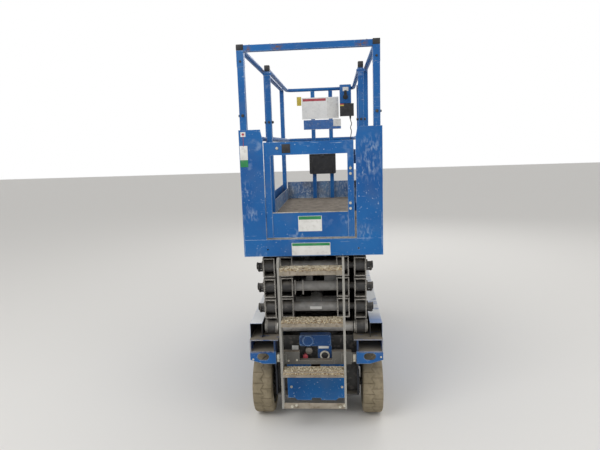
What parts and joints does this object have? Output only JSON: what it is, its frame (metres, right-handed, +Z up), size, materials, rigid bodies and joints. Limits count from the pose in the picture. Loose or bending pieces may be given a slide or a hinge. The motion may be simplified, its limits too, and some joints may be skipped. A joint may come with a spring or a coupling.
{
  "type": "slab scissor lift",
  "caption": "Electric slab scissor lift, stowed: guard-railed platform with gate and roll-out deck on a stack of crossed arms over a low wheeled chassis with a ladder.",
  "frame": {"origin": "on the floor under the middle of the whole machine", "axes": "+Y forward to the steered end, +X right as seen from behind the ladder, +Z up"},
  "size_m": [0.81, 2.44, 2.2679],
  "materials": {
    "blue_paint": "gloss paint, scuffed",
    "arm_paint": "dark grey paint, dusty",
    "pin_steel": "worn steel",
    "grey_paint": "silver grey paint",
    "tread_steel": "worn muddy steel",
    "deck_steel": "worn plate",
    "tyre_rubber": "dusty solid rubber",
    "rim_paint": "dark paint",
    "black_plastic": "matt",
    "board_white": "white sheet",
    "red_plastic": "gloss"
  },
  "bodies": {
    "chassis": {"chassis_beams": "blue_paint", "front_deck": "arm_paint", "chassis_floor": "arm_paint", "front_bumper": "blue_paint", "side_channels": "blue_paint", "side_covers": "blue_paint", "cross_bar": "grey_paint", "end_plates": "blue_paint", "ladder_rails": "grey_paint", "ladder_steps": "tread_steel", "rear_housing": "blue_paint", "recess_fittings": "red_plastic", "pothole_guards": "arm_paint", "stack_brackets": "arm_paint", "rear_axles": "arm_paint"},
    "yoke_right": {"steer_yoke_right": "arm_paint"},
    "yoke_left": {"steer_yoke_left": "arm_paint"},
    "module_right": {"module_tray_right": "blue_paint", "hydraulic_block": "arm_paint"},
    "module_left": {"module_tray_left": "blue_paint", "battery_block": "black_plastic"},
    "lift_barrel": {"lift_barrel": "arm_paint"},
    "lift_rod": {"lift_rod": "pin_steel"},
    "platform": {"platform_floor": "deck_steel", "platform_sides": "blue_paint", "fascias": "blue_paint", "corner_panels": "blue_paint", "main_posts": "blue_paint", "main_rails": "blue_paint"},
    "gate": {"gate": "blue_paint"},
    "roll_out_deck": {"out_deck": "deck_steel", "out_posts": "blue_paint", "out_top_rail": "blue_paint", "out_mid_rails": "blue_paint", "out_toe_boards": "blue_paint", "control_box": "blue_paint", "control_module": "black_plastic", "notice_boards": "board_white", "manual_box": "black_plastic", "lead_socket": "black_plastic", "control_lead": "black_plastic"},
    "inner_1": {"inner_arms_1": "arm_paint"},
    "outer_1": {"outer_arms_1": "arm_paint"},
    "inner_2": {"inner_arms_2": "arm_paint"},
    "outer_2": {"outer_arms_2": "arm_paint"},
    "inner_3": {"inner_arms_3": "arm_paint"},
    "outer_3": {"outer_arms_3": "arm_paint"},
    "inner_4": {"inner_arms_4": "arm_paint"},
    "outer_4": {"outer_arms_4": "arm_paint"},
    "wheel_rear_right": {"tyre_rear_right": "tyre_rubber", "rim_rear_right": "rim_paint"},
    "wheel_rear_left": {"tyre_rear_left": "tyre_rubber", "rim_rear_left": "rim_paint"},
    "wheel_front_right": {"tyre_front_right": "tyre_rubber", "rim_front_right": "rim_paint"},
    "wheel_front_left": {"tyre_front_left": "tyre_rubber", "rim_front_left": "rim_paint"}
  },
  "joints": [
    {"name": "lift", "type": "hinge", "parent": "chassis", "child": "inner_1", "pos_m": [0, 1.01796, 0.596], "axis": [-1, 0, 0], "range_deg": [0, 59.4]},
    {"name": "scissor_1", "type": "hinge", "parent": "inner_1", "child": "outer_1", "pos_m": [0, 0, 0.6605], "axis": [1, 0, 0], "range_deg": [0, 118.8]},
    {"name": "front_pin_1", "type": "hinge", "parent": "outer_1", "child": "inner_2", "pos_m": [0, 1.01796, 0.725], "axis": [-1, 0, 0], "range_deg": [0, 118.8]},
    {"name": "scissor_2", "type": "hinge", "parent": "inner_2", "child": "outer_2", "pos_m": [0, 0, 0.7895], "axis": [1, 0, 0], "range_deg": [0, 118.8]},
    {"name": "front_pin_2", "type": "hinge", "parent": "outer_2", "child": "inner_3", "pos_m": [0, 1.01796, 0.854], "axis": [-1, 0, 0], "range_deg": [0, 118.8]},
    {"name": "scissor_3", "type": "hinge", "parent": "inner_3", "child": "outer_3", "pos_m": [0, 0, 0.9185], "axis": [1, 0, 0], "range_deg": [0, 118.8]},
    {"name": "front_pin_3", "type": "hinge", "parent": "outer_3", "child": "inner_4", "pos_m": [0, 1.01796, 0.983], "axis": [-1, 0, 0], "range_deg": [0, 118.8]},
    {"name": "scissor_4", "type": "hinge", "parent": "inner_4", "child": "outer_4", "pos_m": [0, 0, 1.0475], "axis": [1, 0, 0], "range_deg": [0, 118.8]},
    {"name": "platform_pin", "type": "hinge", "parent": "outer_4", "child": "platform", "pos_m": [0, 1.01796, 1.112], "axis": [-1, 0, 0], "range_deg": [0, 59.4]},
    {"name": "barrel_pin", "type": "hinge", "parent": "inner_1", "child": "lift_barrel", "pos_m": [0, -0.87824, 0.71615], "axis": [1, 0, 0], "range_deg": [0, 126.18]},
    {"name": "rod_slide", "type": "slide", "parent": "lift_barrel", "child": "lift_rod", "axis": [0, 0.9947, 0.1029], "range_m": [0, 0.80669]},
    {"name": "steer_right", "type": "hinge", "parent": "chassis", "child": "yoke_right", "pos_m": [0.218, 0.925, 0.4], "axis": [0, 0, 1], "range_deg": [-45, 45]},
    {"name": "module_right_swing", "type": "hinge", "parent": "chassis", "child": "module_right", "pos_m": [0.386, -0.686, 0.46], "axis": [0, 0, -1], "range_deg": [0, 80]},
    {"name": "wheel_rear_right_spin", "type": "hinge", "parent": "chassis", "child": "wheel_rear_right", "pos_m": [0.3415, -0.925, 0.1905], "axis": [1, 0, 0], "continuous": true},
    {"name": "wheel_front_right_spin", "type": "hinge", "parent": "yoke_right", "child": "wheel_front_right", "pos_m": [0.3415, 0.925, 0.1905], "axis": [1, 0, 0], "continuous": true},
    {"name": "steer_left", "type": "hinge", "parent": "chassis", "child": "yoke_left", "pos_m": [-0.218, 0.925, 0.4], "axis": [0, 0, 1], "range_deg": [-45, 45]},
    {"name": "module_left_swing", "type": "hinge", "parent": "chassis", "child": "module_left", "pos_m": [-0.386, -0.686, 0.46], "axis": [0, 0, 1], "range_deg": [0, 80]},
    {"name": "wheel_rear_left_spin", "type": "hinge", "parent": "chassis", "child": "wheel_rear_left", "pos_m": [-0.3415, -0.925, 0.1905], "axis": [1, 0, 0], "continuous": true},
    {"name": "wheel_front_left_spin", "type": "hinge", "parent": "yoke_left", "child": "wheel_front_left", "pos_m": [-0.3415, 0.925, 0.1905], "axis": [1, 0, 0], "continuous": true},
    {"name": "gate_hinge", "type": "hinge", "parent": "platform", "child": "gate", "pos_m": [0.2515, -1.096, 1.4], "axis": [0, 0, -1], "range_deg": [0, 90]},
    {"name": "deck_slide", "type": "slide", "parent": "platform", "child": "roll_out_deck", "axis": [0, 1, 0], "range_m": [0, 0.91]}
  ],
  "couplings": [
    {"joint": "scissor_1", "follows": "lift", "ratio": 2},
    {"joint": "front_pin_1", "follows": "lift", "ratio": 2},
    {"joint": "scissor_2", "follows": "lift", "ratio": 2},
    {"joint": "front_pin_2", "follows": "lift", "ratio": 2},
    {"joint": "scissor_3", "follows": "lift", "ratio": 2},
    {"joint": "front_pin_3", "follows": "lift", "ratio": 2},
    {"joint": "scissor_4", "follows": "lift", "ratio": 2},
    {"joint": "platform_pin", "follows": "lift", "ratio": 1},
    {"joint": "barrel_pin", "follows": "lift", "ratio": 2.1242},
    {"joint": "rod_slide", "follows": "lift", "m_per_rad": 0.77811},
    {"joint": "steer_left", "follows": "steer_right", "ratio": 1}
  ]
}
